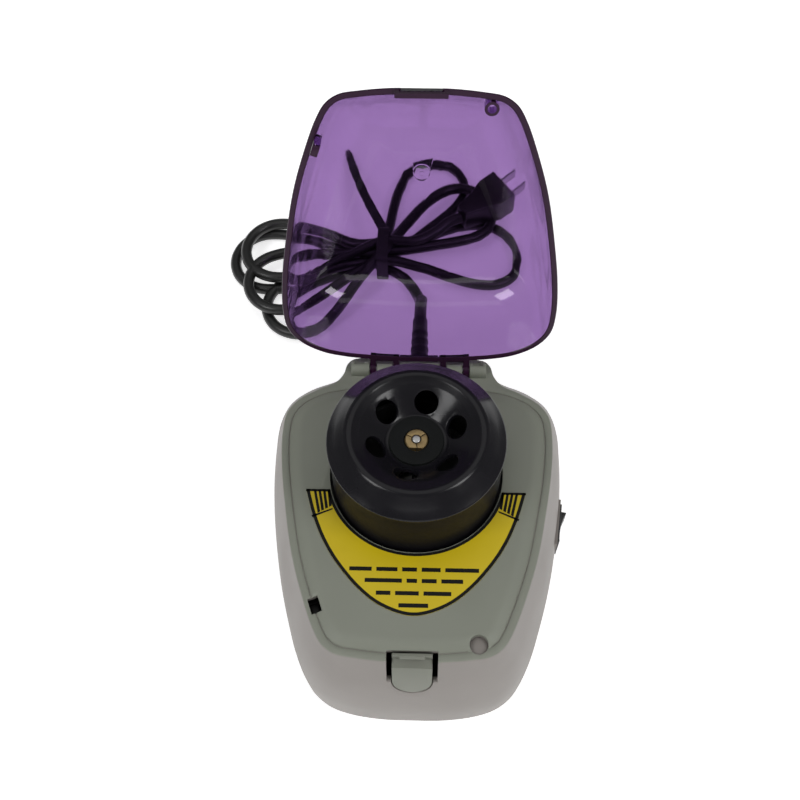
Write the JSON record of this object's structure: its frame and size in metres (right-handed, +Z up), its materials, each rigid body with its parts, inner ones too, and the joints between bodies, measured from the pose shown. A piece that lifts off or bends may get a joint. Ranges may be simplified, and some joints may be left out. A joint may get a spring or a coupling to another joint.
{
  "type": "microcentrifuge",
  "caption": "Small bench centrifuge with a hinged clear purple lid, an open fixed-angle tube rotor in a grey housing, a front latch, a side rocker switch and a tied mains lead.",
  "frame": {"origin": "under the middle of the machine with its lid open, without its lead, on the surface it stands on", "axes": "+Z up along the rotor's axis, +Y from the latch at the front to the hinge at the rear, +X to the right of someone facing the latch"},
  "size_m": [0.1939, 0.3781, 0.2123],
  "materials": {
    "housing_grey": "fine moulded texture, warm light grey",
    "base_grey": "plain moulded grey",
    "foot_rubber": "matte black rubber",
    "steel": "plain bright steel",
    "label_yellow": "printed yellow film with a black border",
    "chamber_black": "plain black moulding",
    "rotor_black": "polished black moulding",
    "lid_purple": "clear purple, polished inside and out",
    "collet_brass": "dull machined brass",
    "motor_copper": "copper windings and bars",
    "ferrite": "dark sintered or laminated core",
    "switch_black": "satin black moulding",
    "board_green": "green solder resist",
    "wire_red": "red insulated wire",
    "cord_black": "smooth black vinyl jacket"
  },
  "bodies": {
    "base": {"housing_shell": "housing_grey", "base_plate": "base_grey", "foot_1": "foot_rubber", "foot_2": "foot_rubber", "foot_3": "foot_rubber", "foot_4": "foot_rubber", "base_screw_1": "steel", "base_screw_2": "steel", "base_screw_3": "steel", "base_screw_4": "steel", "deck_label": "label_yellow", "rotor_chamber": "chamber_black", "motor_plate": "steel", "motor_can": "steel", "motor_isolator_1": "foot_rubber", "motor_isolator_2": "foot_rubber", "motor_isolator_3": "foot_rubber", "motor_screw_1": "steel", "motor_screw_2": "steel", "motor_end_cap": "chamber_black", "motor_bearing_top": "collet_brass", "motor_bearing_bottom": "collet_brass", "motor_magnet_1": "ferrite", "motor_magnet_2": "ferrite", "motor_brush_1": "ferrite", "motor_brush_2": "ferrite", "hinge_pin": "steel", "switch_body": "switch_black", "interlock_switch": "chamber_black", "power_board": "board_green", "transformer": "ferrite", "filter_capacitor": "chamber_black", "fuse": "steel", "supply_wire": "cord_black", "switch_wire": "wire_red", "motor_wire": "wire_red", "cord_relief": "cord_black", "cord_lead": "cord_black", "cord_hank": "cord_black", "cord_tie": "cord_black", "plug_body": "cord_black", "plug_blade_1": "steel", "plug_blade_2": "steel"},
    "lid": {"lid": "lid_purple"},
    "spinner": {"motor_shaft": "steel", "motor_armature": "motor_copper", "motor_commutator": "motor_copper", "rotor_collet": "collet_brass", "rotor": "rotor_black"},
    "rocker": {"power_rocker": "switch_black"},
    "latch": {"latch_tongue": "housing_grey"},
    "plunger": {"interlock_plunger": "chamber_black"}
  },
  "joints": [
    {"name": "lid_hinge", "type": "hinge", "parent": "base", "child": "lid", "pos_m": [-0.00073, 0.04319, 0.0709], "axis": [1, 0, 0], "range_deg": [0, 107.6]},
    {"name": "rotor_spin", "type": "hinge", "parent": "base", "child": "spinner", "pos_m": [-0.00073, -0.01431, 0], "axis": [0, 0, 1], "continuous": true},
    {"name": "power_rocker_tilt", "type": "hinge", "parent": "base", "child": "rocker", "pos_m": [0.06769, -0.02282, 0.029], "axis": [0, 0, 1], "range_deg": [0, 16]},
    {"name": "latch_press", "type": "hinge", "parent": "base", "child": "latch", "pos_m": [-0.00073, -0.11001, 0.047], "axis": [-1, 0, 0], "range_deg": [0, 1.9], "stiffness_Nm_per_rad": 0.6, "springref_deg": -1.15},
    {"name": "interlock_press", "type": "slide", "parent": "base", "child": "plunger", "axis": [0, 0, -1], "range_m": [0, 0.003], "stiffness_N_per_m": 250, "springref_m": -0.001}
  ]
}
